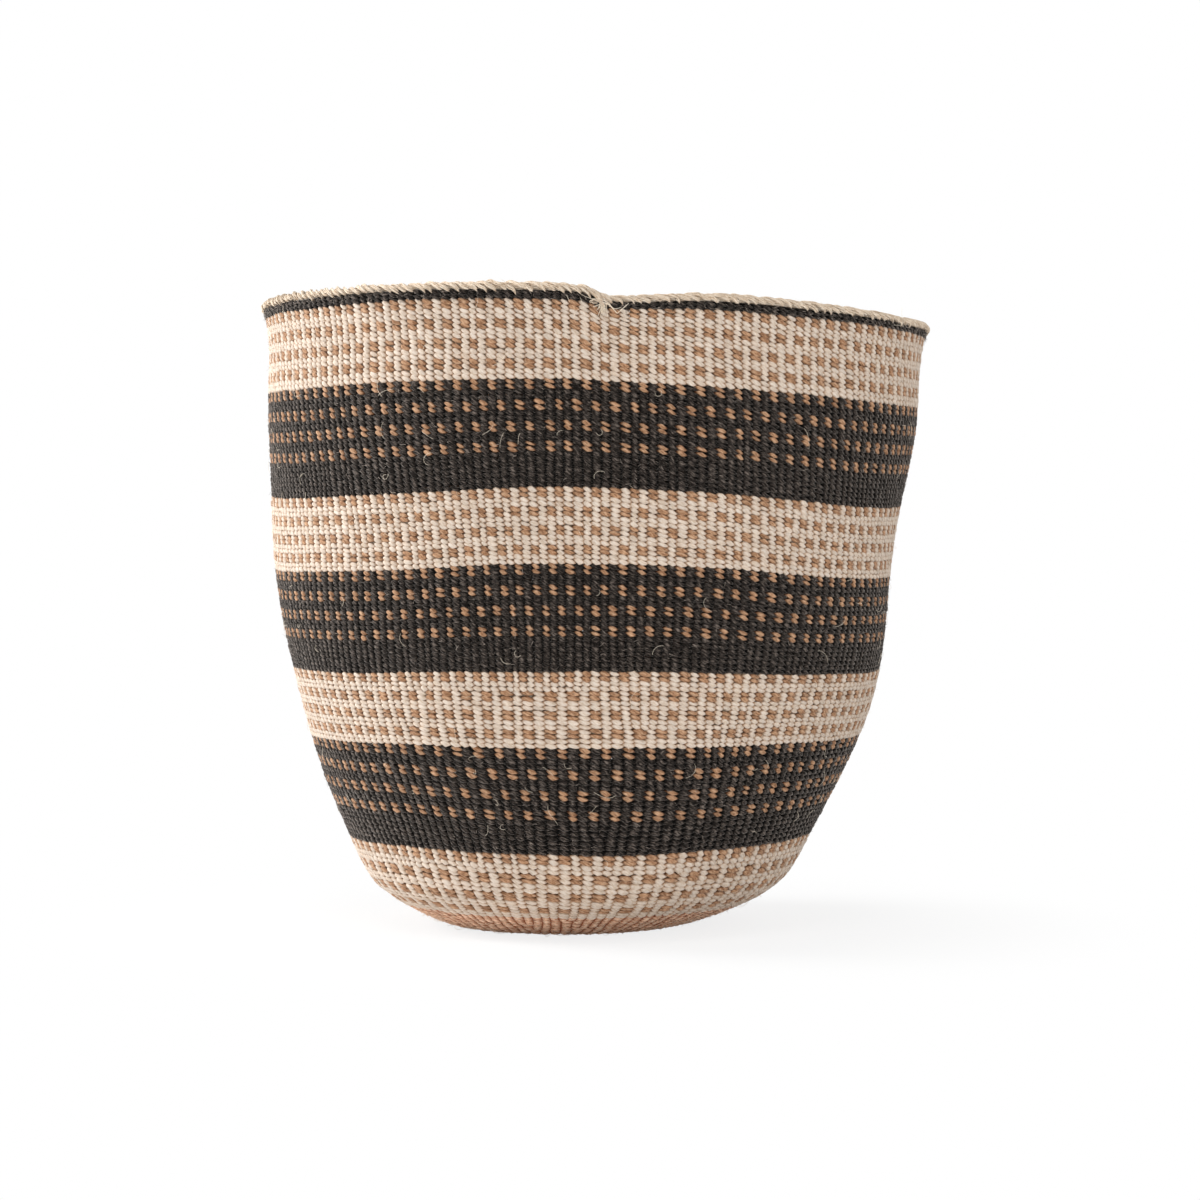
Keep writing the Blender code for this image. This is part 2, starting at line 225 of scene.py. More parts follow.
# Single fibres that have sprung out of the knot: its frayed end, and some to either side
KNOT_FIBRES = [
    (0.15, [(-0.8, 4.6, -1.6), (-2.2, 4.6, -2.8), (-3.9, 4.0, -4.1)]),
    (0.14, [(-0.6, 4.6, -2.0), (-1.6, 4.7, -3.6), (-2.4, 4.0, -5.2)]),
    (0.15, [(-0.3, 4.6, -2.4), (-1.1, 4.8, -5.0), (-1.8, 3.8, -7.6)]),
    (0.13, [(0.0, 4.6, -2.4), (-0.4, 4.7, -4.6), (-0.7, 3.7, -7.0)]),
    (0.13, [(0.3, 4.6, -2.2), (0.2, 4.7, -4.4), (0.3, 3.7, -6.7)]),
    (0.13, [(0.6, 4.5, -2.0), (0.9, 4.4, -3.6), (1.1, 3.6, -5.2)]),
    (0.16, [(1.2, 4.8, -0.2), (2.3, 5.0, -0.8), (4.2, 5.2, -2.8), (5.9, 5.0, -4.9)]),
    (0.15, [(5.8, 5.0, -5.0), (7.9, 5.4, -2.6), (10.4, 5.2, 0.2)]),
    (0.12, [(2.0, 4.8, -0.4), (3.3, 5.2, -1.5), (4.5, 5.3, -2.6), (6.1, 5.2, -2.5), (7.5, 4.8, -1.8)]),
    (0.09, [(-8.9, 3.4, -0.2), (-6.4, 4.1, -0.7), (-4.2, 4.5, -0.5), (-1.1, 5.1, 0.7), (2.3, 4.4, 1.8)]),
    (0.08, [(-14.8, 3.2, -1.2), (-14.0, 3.9, -2.4), (-13.4, 3.6, -3.8)]),
    (0.07, [(-9.2, 3.2, -1.4), (-8.6, 3.9, -2.6), (-8.9, 3.5, -4.0)]),
]
STRAND_SIDES, STRAND_STEPS = 6, 4
FIBRE_SIDES, FIBRE_STEPS = 4, 6
# The strands get painted shade: darker the further they lie below the knot's top, in mm outwards
KNOT_TOP = 4.6
KNOT_PAINTED_SHADE = 0.12
KNOT_LEAST_DEPTH = 0.5
KNOT_SHARE = 0.3
KNOT_TONES = (0.3, 1.0)
# More hairs of the frayed end: reach down and places outwards in mm. They spread from top to tip.
TAIL_HAIRS = 9
TAIL_HAIR_RADIUS = 0.08 * MM
TAIL_STEPS = 5
TAIL_REACH = 8.5
TAIL_REACH_SCATTER = (0.5, 1.0)
TAIL_TOP_UP, TAIL_MIDDLE_SHARE = -1.0, 0.45
TAIL_SPREADS = (0.5, 0.8, 1.4)
TAIL_TIP_SCATTER = 0.3
TAIL_TOP_OUT, TAIL_MIDDLE_OUT, TAIL_TIP_OUT = 4.6, 4.9, (3.0, 4.6)

# Loose fibres that stand off the wall: their number by the colour under them, length in mm, slant,
# bend and stand. They start so many mm deep in the cord and get thinner towards the tip.
FUZZ_HAIRS = {"cream": 5500, "base": 2000, "black": 6500}
BLACK_RIM_HAIRS = 2200
FIRST_FUZZY_COURSE = 4
FUZZ_SIDES, FUZZ_RINGS = 3, 4
FUZZ_RADIUS = 0.065 * MM
FUZZ_LENGTH = (0.8, 3.4)
FUZZ_OUTSIDE = 0.62
FUZZ_SLANT = -0.15
FUZZ_SCATTER = 0.6
FUZZ_BEND = 0.5
FUZZ_STAND, FUZZ_LEAST_STAND = 0.2, 0.04
FUZZ_STAND_POWER = 1.5
FUZZ_ROOT, FUZZ_TAPER = 1.15, 0.7
ROOT_DEPTH = 0.25
LEAST_TURN_RADIUS = 10.0 * MM

# Short fibres of the folded warp ends: where they start and go, in mm
RIM_HAIRS = 700
RIM_HAIR_RINGS = 5
RIM_HAIR_LENGTH = (0.8, 3.0)
RIM_HAIR_OUT, RIM_HAIR_UP = (-2.8, 3.4), (0.5, 2.8)
RIM_HAIR_RISE = (-0.3, 0.8)
RIM_HAIR_BEND, RIM_HAIR_SPLAY = 0.6, 0.5
RIM_HAIR_ROOT = 1.1

# Long fibres that lie over the wall in an arc, with its length and height in mm
LONG_HAIRS = 520
LONG_HAIR_PLACES = ["cream", "black", "black", "base"]
LONG_HAIR_SIDES, LONG_HAIR_RINGS = 4, 11
LONG_HAIR_RADIUS = 0.06 * MM
LONG_HAIR_LENGTH = (3.5, 12.0)
LONG_HAIR_OUTSIDE = 0.7
LONG_HAIR_BEND = 1.6
LONG_HAIR_CURL = 1.4
LONG_HAIR_ARCH = (0.2, 1.6)
LONG_HAIR_ARCH_POWER = 0.7

# Colours as linear RGB: dark, middle and light fibres of each cord, and its painted shade: what its colour
# is times where it lies deep between the stitches
CORD_COLOURS = {
    "cream": ((0.57, 0.445, 0.335), (0.685, 0.57, 0.47), (0.72, 0.63, 0.545), (0.62, 0.42, 0.26)),
    "tan": ((0.24, 0.115, 0.055), (0.44, 0.24, 0.13), (0.60, 0.38, 0.235), (0.24, 0.15, 0.09)),
    # The base's colours are painted light: lighter than the tan cord's, in place of light from the floor
    # below
    "base": ((0.38, 0.17, 0.09), (0.98, 0.62, 0.41), (0.98, 0.82, 0.64), (0.44, 0.21, 0.12)),
    "black": ((0.003, 0.002, 0.0015), (0.033, 0.026, 0.022), (0.18, 0.146, 0.124), (0.05, 0.04, 0.03)),
    "natural": ((0.50, 0.37, 0.25), (0.72, 0.58, 0.44), (0.84, 0.745, 0.62), (0.12, 0.065, 0.03)),
}
# Colours of single loose fibres, and the darkest and the lightest of them as shares of that
HAIR_COLOURS = {
    "cream": ((0.72, 0.60, 0.46), 0.75, 1.1), "base": ((0.60, 0.41, 0.27), 0.6, 1.3),
    "black": ((0.12, 0.10, 0.085), 0.2, 6.0), "natural": ((0.90, 0.79, 0.63), 0.9, 1.1),
}
# The tone of the darkest stitches, and how the fibres shine: sheen, its roughness and specular level
FINISHES = {
    "cream": (0.92, 0.18, 0.40, 0.25), "tan": (0.84, 0.12, 0.40, 0.25), "base": (0.82, 0.14, 0.40, 0.25),
    "black": (0.70, 0.46, 0.32, 0.08), "natural": (0.92, 0.10, 0.45, 0.35),
}
SHEEN_TINT = (1.0, 0.90, 0.82, 1.0)

# Streaks of fibres and larger patches: how dense the noise is along and across a cord. Then where the
# streaks turn from dark to light, and the tones of the rest.
STREAKS, STREAK_DETAIL = (0.42, 2.2, 2.2), 5.0
PATCHES, PATCH_DETAIL = (0.16, 0.25, 0.25), 1.0
NOISE_ROUGHNESS = 0.6
DARK_STREAK, MIDDLE_STREAK, LIGHT_STREAK = 0.38, 0.5, 0.62
PATCH_TONES = [(0.3, 0.94), (0.7, 1.05)]
LIGHTEST_STITCH = 1.04
ROUGHNESSES = [(0.3, 0.9), (0.75, 0.62)]
STREAK_BUMP, STREAK_DEPTH = 0.8, 0.35 * MM
# Depths of the painted shade: where a cord has a quarter of its deep colour, that colour, and its own
# colour
DEEPEST, DEEP, SHALLOW = 0.22, 0.55, 0.90
HAIR_MIDDLE_TONE = 0.6
HAIR_ROUGHNESS = 0.55

# The record's slot for each colour: the base is the tan cord, its colour painted paler in place of light
# from the floor below
SLOTS = {
    "cream": "cream_sisal", "tan": "tan_sisal", "base": "tan_sisal", "black": "black_sisal",
    "natural": "natural_sisal",
}

# The photograph's view: a long lens a little below the height of the rim
SENSOR_WIDTH, LENS = 36.0, 103.1
CAMERA_PLACE = (2.0 * MM, -1551.4 * MM, 182.0 * MM)
CAMERA_DIP = math.radians(1.334)

# The even light from all round, and each lamp: name, place, target, size in metres, power in watts
WORLD_STRENGTH = 0.52
LAMPS = [
    ("key", (-2.35, 0.5, 1.2), (0, 0, 0.14), 1.2, 76.0),
    ("fill", (1.9, -1.5, 1.0), (0, 0, 0.14), 1.2, 9.0),
    ("top_front", (-0.2, -1.7, 2.2), (0, 0, 0.14), 0.9, 12.0),
    ("low_front", (0.0, -2.2, 0.15), (0, 0, 0.05), 1.6, 12.0),
]
# How white the floor looks under the basket, out to the shade radius, and where it gets plain white
FLOOR_HALF = 6.0
FLOOR_TONE, FLOOR_ROUGHNESS = 0.94, 0.9
WHITE_UNDER_BASKET = 0.82
SHADE_RADIUS = 0.10
WHITE_RADIUS = 0.26

rng = np.random.default_rng(SEED)


def wall_line():
    """Radius, height and length along the wall's middle line, a cubic B-spline through the cage."""
    cage = [np.array(corner) * MM for corner in WALL_CAGE]
    cage = [cage[1] * (-1, 1), *cage, 2 * cage[-1] - cage[-2]]
    points = []
    for a, b, c, d in zip(cage, cage[1:], cage[2:], cage[3:]):
        for step in range(CAGE_STEPS):
            t = step / CAGE_STEPS
            weight_b = 3 * t ** 3 - 6 * t ** 2 + 4
            weight_c = -3 * t ** 3 + 3 * t ** 2 + 3 * t + 1
            points.append(((1 - t) ** 3 * a + weight_b * b + weight_c * c + t ** 3 * d) / 6)
    points.append(cage[-2])
    onwards = points[-1] - points[-2]
    points.append(points[-1] + onwards / np.linalg.norm(onwards) * LINE_SPARE)
    points = np.array(points)
    steps = np.linalg.norm(np.diff(points, axis=0), axis=1)
    return points, np.concatenate([[0.0], np.cumsum(steps)])


LINE_POINTS, LINE_LENGTHS = wall_line()
LINE_ALONG = np.gradient(LINE_POINTS, LINE_LENGTHS, axis=0)
WALL_LENGTH = LINE_LENGTHS[-2]


def on_wall(length, offset):
    """Radius and height at a length along the middle line, moved outwards by an offset."""
    radius, height = (np.interp(length, LINE_LENGTHS, LINE_POINTS[:, i]) for i in (0, 1))
    along_r, along_z = (np.interp(length, LINE_LENGTHS, LINE_ALONG[:, i]) for i in (0, 1))
    size = np.hypot(along_r, along_z)
    return radius + offset * along_z / size, height - offset * along_r / size


def settle(radius, angle, height):
    """Where points of the true turned shape lie on the soft basket, as an array of XYZ."""
    level = np.maximum(height, 0.0) / RIM_HEIGHT
    angle = (angle + math.pi) % (2 * math.pi) - math.pi
    middle = np.sin(math.pi * np.minimum(level, 1.0))
    wave = level * RIM_WAVE * np.sin(3 * angle + RIM_WAVE_PHASE + RIM_WAVE_DRIFT * level)
    wave = wave + middle * BODY_WAVE * np.sin(3 * angle + BODY_WAVE_PHASE + BODY_WAVE_DRIFT * level)
    wave = wave + level * FIVE_WAVE * np.sin(5 * angle + FIVE_WAVE_DRIFT * level)
    radius = radius + wave
    rise = RIM_SADDLE * np.cos(2 * angle) - RIM_TWIST * np.sin(2 * angle) - RIM_TILT * np.sin(angle)
    sag = middle * np.sin(math.pi * (level - SAG_LEVEL) / (1 - SAG_LEVEL))
    sag = sag * COURSE_SAG * (1 - np.cos(3 * angle)) / 2
    past_dip = angle - RIM_DIP_ANGLE
    dip_width = np.where(past_dip > 0, RIM_DIP_RIGHT, RIM_DIP_LEFT)
    dip = RIM_DIP * level ** RIM_DIP_POWER * np.exp(-(past_dip / dip_width) ** 2)
    slide = BASE_SLIDE * np.exp(-level / SLIDE_LEVEL)
    x = radius * np.sin(angle) + LEAN * level - slide
    y = -radius * np.cos(angle)
    z = np.maximum(height + level ** 2 * rise - sag - dip, FLOOR_GAP)
    return np.stack([x, y, z], axis=-1) + BASE_SHIFT


def place(angle, length, offset):
    """XYZ of points given by their angle round the basket, length up the wall and offset."""
    radius, height = on_wall(length, offset)
    return settle(radius, angle, height)


class Tube:
    """One closed tube: rings (rings, sides, XYZ) with the length along it, the twist of its plies and
    its tone at each, how near to the wall's surface each point lies, which sets its painted shade, how
    thick it is as a share of a cord, and its own place in the noise."""

    def __init__(self, rings, tone=0.5, depth=1.0, share=1.0):
        steps = np.linalg.norm(np.diff(rings.mean(axis=1), axis=0), axis=1)
        self.rings = rings
        self.along = np.concatenate([[0.0], np.cumsum(steps)])
        self.twist = 2 * math.pi * self.along / PLY_TURN
        self.share = share
        self.noise_place = rng.uniform(0, NOISE_PLACES)
        self.tone = np.broadcast_to(np.reshape(tone, (-1, 1)), rings.shape[:2])
        self.depth = np.broadcast_to(depth, rings.shape[:2])


def tube_mesh(name, tubes, material):
    """One object of closed tubes with equal sides. The map lays them end to end, in strips."""
    sides = tubes[0].rings.shape[1]
    counts = [len(tube.rings) for tube in tubes]
    verts = np.concatenate([tube.rings.reshape(-1, 3) for tube in tubes])
    total = sum(count - 1 for count in counts)
    strip = max(1, int(round(math.sqrt(total * sides))))
    strips = -(-total // strip)
    around = np.arange(sides)
    quads, maps, caps = [], [], []
    first, done = 0, 0
    for count in counts:
        ring_start = first + sides * np.arange(count - 1)[:, None]
        low, high = ring_start + around, ring_start + (around + 1) % sides
        quads.append(np.stack([low, low + sides, high + sides, high], axis=-1).reshape(-1, 4))
        segment = done + np.arange(count - 1)[:, None] + 0 * around
        u, v = (segment % strip) / strip, (segment // strip + around / sides) / strips
        u2, v2 = u + 1 / strip, v + 1 / sides / strips
        corners = [(u, v), (u2, v), (u2, v2), (u, v2)]
        maps.append(np.stack([np.stack(c, axis=-1) for c in corners], axis=-2).reshape(-1, 2))
        caps.append(first + around)
        caps.append((first + sides * (count - 1) + around)[::-1])
        first += sides * count
        done += count - 1
    quads = np.concatenate(quads)
    caps = np.array(caps)
    mesh = bpy.data.meshes.new(name)
    mesh.vertices.add(len(verts))
    mesh.vertices.foreach_set("co", verts.astype(np.float32).ravel())
    corners = np.concatenate([quads.ravel(), caps.ravel()])
    mesh.loops.add(len(corners))
    mesh.loops.foreach_set("vertex_index", corners.astype(np.int32))
    starts = [4 * np.arange(len(quads)), 4 * len(quads) + sides * np.arange(len(caps))]
    mesh.polygons.add(len(quads) + len(caps))
    mesh.polygons.foreach_set("loop_start", np.concatenate(starts).astype(np.int32))
    mesh.polygons.foreach_set("use_smooth", np.ones(len(quads) + len(caps), bool))
    mesh.update(calc_edges=True)
    uv = mesh.uv_layers.new(name="OFBake")
    cap_map = np.full((caps.size, 2), 0.5 / strip)
    uv.data.foreach_set("uv", np.concatenate([*maps, cap_map]).astype(np.float32).ravel())
    turn = 2 * math.pi * around / sides
    yarn, shade = [], []
    for tube in tubes:
        angle = turn + tube.twist[:, None]
        where = (tube.along / MM + NOISE_STRIDE * tube.noise_place)[:, None]
        where = np.broadcast_to(where, angle.shape)
        across = (tube.share * np.cos(angle), tube.share * np.sin(angle))
        yarn.append(np.stack([where, *across], axis=-1).reshape(-1, 3))
        shade.append(np.stack([tube.depth, tube.tone, 0 * tube.tone], axis=-1).reshape(-1, 3))
    for key, values in (("yarn", yarn), ("shade", shade)):
        attribute = mesh.attributes.new(key, "FLOAT_VECTOR", "POINT")
        attribute.data.foreach_set("vector", np.concatenate(values).astype(np.float32).ravel())
    mesh.materials.append(material)
    obj = bpy.data.objects.new(name, mesh)
    bpy.context.scene.collection.objects.link(obj)
    return obj


def smooth_path(points, steps):
    """A smooth curve through the points, with so many steps between two of them."""
    points = np.asarray(points, float)
    padded = np.concatenate([[2 * points[0] - points[1]], points, [2 * points[-1] - points[-2]]])
    t = (np.arange(steps) / steps)[:, None]
    pieces = []
    for a, b, c, d in zip(padded, padded[1:], padded[2:], padded[3:]):
        pieces.append(((2 * b) + (c - a) * t + (2 * a - 5 * b + 4 * c - d) * t ** 2
                       + (3 * b - a - 3 * c + d) * t ** 3) / 2)
    return np.concatenate([*pieces, points[-1:]])


def sweep(path, radii, sides, reference=None):
    """Rings along a path of XYZ points. Each starts square to the reference, or to a random one."""
    along = np.gradient(path, axis=0)
    along /= np.linalg.norm(along, axis=1)[:, None]
    if reference is None:
        reference = rng.standard_normal(3)
    across = np.cross(along, reference)
    across /= np.linalg.norm(across, axis=1)[:, None]
    out = np.cross(across, along)
    turn = 2 * math.pi * np.arange(sides) / sides
    radii = np.broadcast_to(radii, len(path))[:, None, None]
    ring = np.cos(turn)[:, None] * across[:, None] + np.sin(turn)[:, None] * out[:, None]
    return path[:, None] + radii * ring


def tapered(count, share=0.2, tip=0.35):
    """Radius factors along a tube that narrows at both ends."""
    where = np.linspace(0, 1, count)
    return tip + (1 - tip) * np.clip(np.minimum(where, 1 - where) / share, 0, 1) ** 0.5


def dress(piece, slot, *nodes):
    """Put the piece on the basket's one body, in the place of these CAD nodes."""
    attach(piece, "root")
    if nodes:
        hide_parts(*nodes)


def make_pieces(name, tubes, material, slot, *nodes):
    """Dressed objects of these tubes: one, or more of like size where one would have too many faces."""
    sides = tubes[0].rings.shape[1]
    triangles = np.cumsum([2 * sides * len(tube.rings) for tube in tubes])
    parts = -(-int(triangles[-1]) // MOST_TRIANGLES)
    part_of = (triangles - 1) * parts // triangles[-1]
    for part in range(parts):
        part_name = name + (f"_{part + 1}" if parts > 1 else "")
        piece = tube_mesh(part_name, [tubes[i] for i in np.flatnonzero(part_of == part)], material)
        dress(piece, slot, *nodes)


def all_courses():
    """Every course from the centre as a dictionary. Each turn climbs by its own height, so that the
    next one goes on where it ends, but the last one ends level."""
    courses = []
    start = 0.0
    for node, colour, height, widening, letters in COURSE_RUNS:
        for letter in letters:
            rim = node == "rim_black_course"
            courses.append({
                "node": node, "colour": colour, "start": start, "height": height * MM,
                "climb_below": courses[-1]["climb"] if courses else height * MM, "climb": height * MM,
                "dotted": letter == "D", "widening": widening,
                "thickness": RIM_COURSE_HALF_THICKNESS if rim else CORD_HALF_THICKNESS,
                "half_wall": RIM_HALF_WALL if rim else WALL_HALF_THICKNESS,
            })
            start += height * MM
    courses[-1]["climb"] = 0.0
    return courses


def top_of(course):
    """The length up the wall at which a course ends."""
    return course["start"] + course["height"]


def columns_wanted(index):
    """How many columns a course has, always even, so that the weave closes on itself."""
    if index < COLUMN_STEPS[0][0]:
        return 2 * round(BASE_COLUMNS_A_COURSE * (index + 0.5) / 2)
    return [columns for course, columns in COLUMN_STEPS if course <= index][-1]


def lay_columns(courses):
    """Give each course its warps and the angles of its column edges, from the back all the way round."""
    count = columns_wanted(FIRST_COURSE)
    edges = np.linspace(-math.pi, math.pi, count + 1)
    weights = 1 + COLUMN_UNEVENNESS * rng.standard_normal(count)
    warps = np.arange(count)
    next_warp = count
    for index, course in enumerate(courses[FIRST_COURSE:], FIRST_COURSE):
        for _ in range(columns_wanted(index) - len(weights)):
            widths = np.diff(edges) * rng.uniform(*NEARLY_WIDEST, len(weights))
            column = int(widths.argmax())
            middle = (edges[column] + edges[column + 1]) / 2
            edges = np.insert(edges, column + 1, middle)
            weights = np.insert(weights, column + 1, 1 + COLUMN_UNEVENNESS * rng.standard_normal())
            warps = np.insert(warps, column + 1, next_warp)
            next_warp += 1
        weights = 1 + WANDER_KEPT * (weights - 1) + COLUMN_WANDER * rng.standard_normal(len(weights))
        for _ in range(RELAXING_ROUNDS):
            tightness = np.diff(edges) / weights
            edges[1:-1] += RELAXING * np.diff(tightness)
        course["edges"] = edges.copy()
        course["warps"] = warps.copy()


def choose_dots(courses):
    """Say for each course with dots whether its tan cord shows in the even or the odd columns."""
    wishes = iter(DOTS_OVER_DOTS.replace(" ", ""))
    front_warp, tan_in_front = None, True
    for before, course in zip(courses, courses[1:]):
        if course["dotted"]:
            if not before["dotted"] and next(wishes) == "0":
                tan_in_front = not tan_in_front
            if front_warp is None:
                front = int(np.searchsorted(course["edges"], 0.0)) - 1
                front_warp = course["warps"][front]
            front = int(np.flatnonzero(course["warps"] == front_warp)[0])
            course["tan_parity"] = front % 2 if tan_in_front else 1 - front % 2


def course_drift(angle, length):
    """How far a course has crept up or down the wall."""
    level = length / WALL_LENGTH
    waves = (share * np.sin(count * angle + drift * level + phase)
             for share, count, drift, phase in COURSE_WAVES)
    return COURSE_WANDER * sum(waves)


def turned_ring_angle(angle, length):
    """The angle of a column at this length, because the columns lean."""
    return angle + COLUMN_LEAN * (length / WALL_LENGTH - 0.5)


def stitch_edges(course):
    """The angles of a course's column edges, with its tan columns a little wider or narrower."""
    edges = course["edges"].copy()
    if course["dotted"]:
        widths = np.diff(edges)
        towards_tan = np.where(np.arange(len(widths)) % 2 == course["tan_parity"], 1.0, -1.0)
        pull = widths * towards_tan * course["widening"] / 4
        edges[1:-1] += pull[:-1] - pull[1:]
    return edges


def cord_rings(columns, parity):
    """Where the rings of a cord are, in columns, and their shares. The last one meets the first."""
    number = np.arange(columns)[:, None]
    in_front = number % 2 == parity
    values = {key: np.where(in_front, FRONT_RINGS[key], BACK_RINGS[key]) for key in FRONT_RINGS}
    ends = {key: (BACK_RINGS if in_front[-1] else FRONT_RINGS)[key][0] for key in FRONT_RINGS}
    places = np.append((number + values["place"]).ravel(), columns + ends["place"])
    return places, {key: np.append(values[key].ravel(), ends[key]) for key in values}


def cord_tube(course, parity, colour):
    """The cord that lies in front of the even columns, or with parity 1 of the odd ones."""
    fullness = THIN_TAN if colour == "tan" and course["colour"] == "black" else FULLNESS[colour]
    edges = stitch_edges(course)
    columns = len(edges) - 1
    u, share = cord_rings(columns, parity)
    middles = np.arange(columns) + 0.5
    around = np.concatenate([[edges[-2] - 2 * math.pi], edges, [edges[1] + 2 * math.pi]])
    angle = np.interp(u, np.arange(-1, columns + 2), around)
    round_share = angle / (2 * math.pi)
    bottom = course["start"] + course["climb_below"] * round_share
    height = course["start"] + course["height"] + course["climb"] * round_share - bottom
    reach = course["half_wall"] - course["thickness"]
    bulge = np.interp(u, middles, rng.normal(0, STITCH_BULGE, columns))
    lift = np.interp(u, middles, rng.normal(0, STITCH_LIFT, columns)) * height
    size = np.interp(u, middles, rng.normal(fullness, STITCH_SIZE, columns))
    offset = share["offset"] * (reach + bulge)
    slant = SLANT_LOW + (SLANT_HIGH - SLANT_LOW) * (course["start"] / WALL_LENGTH) ** SLANT_POWER
    length = bottom + (0.5 + share["slope"] * slant) * height + lift
    half_height = height / 2 * np.maximum(share["height"] * size, LEAST_HEIGHT)
    half_height = half_height * rng.normal(1, STITCH_ROUGHNESS, len(u))
    half_thick = course["thickness"] * share["thickness"] * size
    turn = 2 * math.pi * (np.arange(SIDES) + 0.5) / SIDES
    up, out = (np.sign(wave) * np.abs(wave) ** CORD_SQUARENESS for wave in (np.sin(turn), np.cos(turn)))
    ring_angle = turned_ring_angle(angle, length)
    length = length + course_drift(ring_angle, length)
    ring_length = length[:, None] + half_height[:, None] * up
    ring_offset = offset[:, None] + half_thick[:, None] * out
    rings = place(np.broadcast_to(ring_angle[:, None], ring_length.shape), ring_length, ring_offset)
    tone = np.interp(u, middles, rng.uniform(0, 1, columns))
    # Painted shade: a point is darker the deeper it lies in the wall, and the upper and lower edges and the
    # stitch ends outside count as deeper still
    depth = np.abs(ring_offset) / (reach + half_thick[:, None]) - EDGE_PAINTED_SHADE[colour] * np.abs(up)
    end = np.where(share["offset"] > 0, 1 - share["offset"], 0.0)
    depth = depth - END_PAINTED_SHADE[colour] * end[:, None]
    return Tube(rings, tone, depth)


def rim_filler(courses):
    """The straight cord inside the black edge."""
    around = np.linspace(-math.pi, math.pi, CORE_STEPS + 1)
    path = place(around, (courses[-2]["start"] + top_of(courses[-1])) / 2, 0.0)
    return Tube(sweep(path, RIM_FILLER_RADIUS, SIDES, UP), depth=HIDDEN_SHADE_DEPTH)


def weave(courses, materials):
    """All the weft, one object for each colour of cord in each run, or more if it has many faces."""
    by_piece = {}
    for course in courses[FIRST_COURSE:]:
        for parity in (0, 1):
            colour = "tan" if course["dotted"] and parity == course["tan_parity"] else course["colour"]
            by_piece.setdefault((course["node"], colour), []).append(cord_tube(course, parity, colour))
    by_piece["rim_black_course", "black"].append(rim_filler(courses))
    for (node, colour), tubes in by_piece.items():
        make_pieces(f"{node}_{colour}_cords", tubes, materials[colour], SLOTS[colour], node)


def warp_tubes(courses):
    """Every warp from where it comes in up to the rim. The first ones start at the base centre."""
    paths = {}
    for course in courses[FIRST_COURSE:]:
        middles = (course["edges"][:-1] + course["edges"][1:]) / 2
        widths = np.diff(course["edges"])
        # Painted shade on the warps, darkest where they lie under black cord
        depth = WARP_SHADE_DEPTHS[course["colour"]]
        share = WARP_BASE_SHARE if course["colour"] == "base" else WARP_COLUMN_SHARE
        for warp, angle, width in zip(course["warps"], middles, share * widths):
            path = paths.setdefault(int(warp), [])
            path.append((angle, course["start"] + course["height"] / 2, width, depth))
    tubes = []
    turn = 2 * math.pi * np.arange(WARP_SIDES) / WARP_SIDES
    for warp, path in paths.items():
        if warp < len(courses[FIRST_COURSE]["warps"]):
            path.insert(0, (path[0][0], 0.0, *path[0][2:]))
        angle, length, width, depth = np.array(path).T
        length = length + courses[0]["height"] * (angle + math.pi) / (2 * math.pi)
        angle = turned_ring_angle(angle, length)
        ring_angle = angle[:, None] + width[:, None] / 2 * np.sin(turn)
        ring_offset = WARP_HALF_THICKNESS * np.cos(turn) + 0 * ring_angle
        rings = place(ring_angle, length[:, None] + 0 * ring_angle, ring_offset)
        tubes.append(Tube(rings, rng.uniform(0, 1), depth[:, None]))
    for number in range(CROSSING_WARPS):
        angle = math.pi * number / CROSSING_WARPS
        ends = [(angle, CROSSING_REACH), (angle, 0.0), (angle + math.pi, CROSSING_REACH)]
        path = np.array([place(end_angle, length, 0.0) for end_angle, length in ends])
        tubes.append(Tube(sweep(path, CROSSING_RADIUS, WARP_SIDES, UP), depth=HIDDEN_SHADE_DEPTH))
    return tubes


def on_rim(angle, t, out, up, rim_length):
    """XYZ of a point given in mm round the rim, outwards and above the black course."""
    radius, _ = on_wall(rim_length, 0.0)
    return place(angle + t * MM / radius, rim_length + up * MM, out * MM)


def fold_tubes(courses):
    """The end of each warp, bent over to the left along the rim and down behind its neighbours."""
    last = courses[-1]
    rim_length = top_of(last)
    middles = (last["edges"][:-1] + last["edges"][1:]) / 2
    tubes = []
    for angle in turned_ring_angle(middles, rim_length):
        points = np.array(FOLD_PATH)
        points[:, 0] += rng.normal(0, 2 * FOLD_UNEVENNESS)
        points[:, 1] *= rng.normal(1, FOLD_UNEVENNESS / 2)
        points[:, 2] += rng.normal(0, FOLD_UNEVENNESS, len(points)) + rng.normal(0, FOLD_UNEVENNESS)
        points[0, 2] += rng.normal(0, FOLD_END_UNEVENNESS)
        t, out, up = smooth_path(points, FOLD_STEPS).T
        start_turn = rng.uniform(0, 2 * math.pi)
        for ply in range(FOLD_PLIES):
            turn = start_turn + 2 * math.pi * ply / FOLD_PLIES + FOLD_TURN * np.linspace(0, 1, len(t))
            spread = FOLD_SPREAD * rng.uniform(*FOLD_SPREAD_SCATTER)
            path = on_rim(angle, t, out + spread * np.cos(turn), up + spread * np.sin(turn), rim_length)
            radii = FOLD_RADIUS * rng.normal(1, FOLD_UNEVENNESS / 2) * tapered(len(path))
            tubes.append(Tube(sweep(path, radii, FOLD_SIDES), rng.uniform(0, 1), share=FOLD_SHARE))
    around = np.linspace(-math.pi, math.pi, CORE_STEPS + 1)
    core = on_rim(around, 0.0, 0.0, CORE_UP, rim_length)
    tubes.append(Tube(sweep(core, CORE_RADIUS, FOLD_SIDES, UP)))
    return tubes


